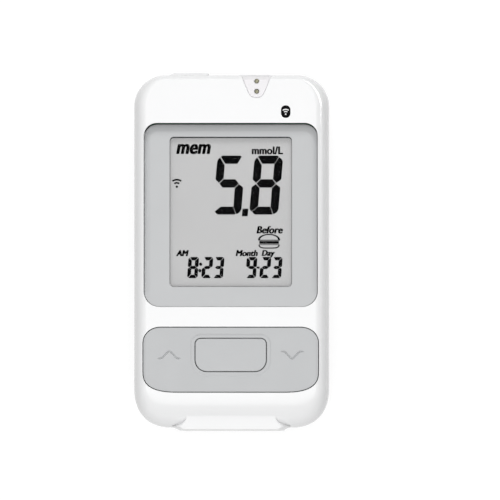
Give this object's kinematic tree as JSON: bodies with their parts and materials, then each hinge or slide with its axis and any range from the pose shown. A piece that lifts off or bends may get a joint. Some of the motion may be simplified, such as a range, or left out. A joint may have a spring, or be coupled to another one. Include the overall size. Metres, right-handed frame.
{
  "type": "blood glucose meter",
  "caption": "Handheld blood glucose meter with a segment display, a rocking key pad, a middle button, a strip port and a sliding battery door.",
  "frame": {"origin": "middle of the flat back face, under the middle of the object's box", "axes": "+Z out of the display, +Y towards the strip port end, +X to the right of someone reading the display"},
  "size_m": [0.0534, 0.098, 0.0216],
  "materials": {
    "white_shell": "satin to gloss moulded white plastic",
    "port_white": "satin white plastic",
    "pin_brass": "dull olive brass",
    "bezel_grey": "satin light grey",
    "lens_clear": "clear polished window",
    "lcd_grey": "grey reflective display glass",
    "holder_grey": "dark grey moulding",
    "contact_rubber": "soft conductive rubber",
    "key_grey": "fine matte light grey",
    "board_green": "green solder mask",
    "chip_black": "black moulding",
    "tin_plate": "tin-plated spring steel",
    "gold_plate": "gold-plated leaf",
    "battery_sleeve": "printed shrink sleeve, plain",
    "screw_steel": "plain steel"
  },
  "bodies": {
    "case": {"front_shell": "white_shell", "rear_shell": "white_shell", "strip_port_insert": "port_white", "port_pin_top": "pin_brass", "port_pin_low": "pin_brass", "display_bezel": "bezel_grey", "display_lens": "lens_clear", "lcd_panel": "lcd_grey", "lcd_holder": "holder_grey", "zebra_strip": "contact_rubber", "circuit_board": "board_green", "processor_chip": "chip_black", "radio_module": "tin_plate", "buzzer": "chip_black", "strip_connector": "chip_black", "strip_contact_1": "gold_plate", "strip_contact_2": "gold_plate", "strip_contact_3": "gold_plate", "data_socket": "tin_plate", "snap_dome_left": "tin_plate", "snap_dome_main": "tin_plate", "snap_dome_right": "tin_plate", "battery_left": "battery_sleeve", "battery_right": "battery_sleeve", "battery_spring_left": "tin_plate", "battery_spring_right": "tin_plate", "contact_bridge": "tin_plate", "contact_plus": "tin_plate", "contact_minus": "tin_plate", "case_screw_top_left": "screw_steel", "case_screw_top_right": "screw_steel", "case_screw_bottom_left": "screw_steel", "case_screw_bottom_right": "screw_steel", "board_screw_left": "screw_steel", "board_screw_right": "screw_steel"},
    "rocker": {"rocker_key": "key_grey"},
    "button": {"main_button": "key_grey"},
    "door": {"battery_door": "white_shell"},
    "cover": {"port_cover": "white_shell"}
  },
  "joints": [
    {"name": "rocker_tilt", "type": "hinge", "parent": "case", "child": "rocker", "pos_m": [0, -0.02807, 0.0148], "axis": [0, 1, 0], "range_deg": [-1.3, 1.3], "stiffness_Nm_per_rad": 0.5},
    {"name": "button_press", "type": "slide", "parent": "case", "child": "button", "axis": [0, 0, -1], "range_m": [0, 0.00045], "stiffness_N_per_m": 300},
    {"name": "door_slide", "type": "slide", "parent": "case", "child": "door", "axis": [0, -1, 0], "range_m": [0, 0.052]},
    {"name": "cover_swing", "type": "hinge", "parent": "case", "child": "cover", "pos_m": [-0.0174, 0.0474, 0.01235], "axis": [0, 0, 1], "range_deg": [0, 80]}
  ]
}
